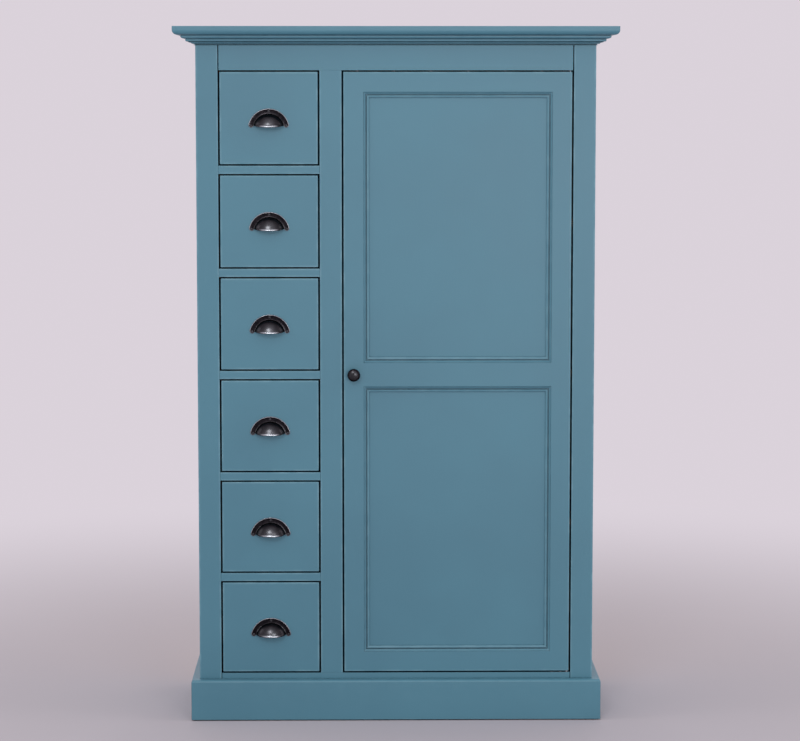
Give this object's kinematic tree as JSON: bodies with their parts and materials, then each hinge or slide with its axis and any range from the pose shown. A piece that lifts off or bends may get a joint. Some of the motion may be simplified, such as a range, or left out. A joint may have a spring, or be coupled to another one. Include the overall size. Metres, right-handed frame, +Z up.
{
  "type": "drawer cabinet",
  "caption": "Tall painted cabinet with a column of inset drawers on cup pulls beside one framed door with two panels, under a moulded top and on a plinth.",
  "frame": {"origin": "on the floor, at the middle of the overall box in width and depth", "axes": "+Z up, the drawers and the door face -Y, +X to the right for someone facing the front"},
  "size_m": [1.064, 0.452, 1.6854],
  "materials": {
    "paint": "smooth satin grey-blue paint over planed pine",
    "pine": "bare planed pine, lightly waxed",
    "bronze": "dark antique bronze, rubbed paler on its edges",
    "steel": "plain zinc-plated steel"
  },
  "bodies": {
    "cabinet": {"side_left": "paint", "side_right": "paint", "stile_left": "paint", "stile_middle": "paint", "stile_right": "paint", "top_rail": "paint", "bottom_rail": "paint", "plinth_left": "paint", "plinth_front": "paint", "plinth_right": "paint", "cornice_moulding_left": "paint", "cornice_moulding_front": "paint", "cornice_moulding_right": "paint", "top_board": "paint", "partition": "pine", "drawer_bay_lining": "pine", "bottom_board": "pine", "back_panel": "pine", "drawer_kicker": "pine", "shelf_1": "pine", "shelf_2": "pine", "shelf_3": "pine", "door_stop": "pine", "drawer_divider_1": "paint", "drawer_divider_2": "paint", "drawer_divider_3": "paint", "drawer_divider_4": "paint", "drawer_divider_5": "paint", "hinge_top_frame_leaf": "steel", "hinge_bottom_frame_leaf": "steel"},
    "door": {"door_stile_lock": "paint", "door_stile_hinge": "paint", "door_rail_top": "paint", "door_rail_middle": "paint", "door_rail_bottom": "paint", "door_panel_upper": "paint", "door_panel_lower": "paint", "panel_moulding_upper": "paint", "panel_moulding_lower": "paint", "door_knob": "bronze", "hinge_top_door_leaf": "steel", "hinge_bottom_door_leaf": "steel"},
    "drawer_1": {"drawer_front_1": "paint", "drawer_box_1": "pine", "drawer_pull_1": "bronze"},
    "drawer_2": {"drawer_front_2": "paint", "drawer_box_2": "pine", "drawer_pull_2": "bronze"},
    "drawer_3": {"drawer_front_3": "paint", "drawer_box_3": "pine", "drawer_pull_3": "bronze"},
    "drawer_4": {"drawer_front_4": "paint", "drawer_box_4": "pine", "drawer_pull_4": "bronze"},
    "drawer_5": {"drawer_front_5": "paint", "drawer_box_5": "pine", "drawer_pull_5": "bronze"},
    "drawer_6": {"drawer_front_6": "paint", "drawer_box_6": "pine", "drawer_pull_6": "bronze"}
  },
  "joints": [
    {"name": "door_hinge", "type": "hinge", "parent": "cabinet", "child": "door", "pos_m": [0.418, -0.168, 0.1152], "axis": [0, 0, 1], "range_deg": [0, 105]},
    {"name": "drawer_1_slide", "type": "slide", "parent": "cabinet", "child": "drawer_1", "axis": [0, -1, 0], "range_m": [0, 0.3]},
    {"name": "drawer_2_slide", "type": "slide", "parent": "cabinet", "child": "drawer_2", "axis": [0, -1, 0], "range_m": [0, 0.3]},
    {"name": "drawer_3_slide", "type": "slide", "parent": "cabinet", "child": "drawer_3", "axis": [0, -1, 0], "range_m": [0, 0.3]},
    {"name": "drawer_4_slide", "type": "slide", "parent": "cabinet", "child": "drawer_4", "axis": [0, -1, 0], "range_m": [0, 0.3]},
    {"name": "drawer_5_slide", "type": "slide", "parent": "cabinet", "child": "drawer_5", "axis": [0, -1, 0], "range_m": [0, 0.3]},
    {"name": "drawer_6_slide", "type": "slide", "parent": "cabinet", "child": "drawer_6", "axis": [0, -1, 0], "range_m": [0, 0.3]}
  ]
}
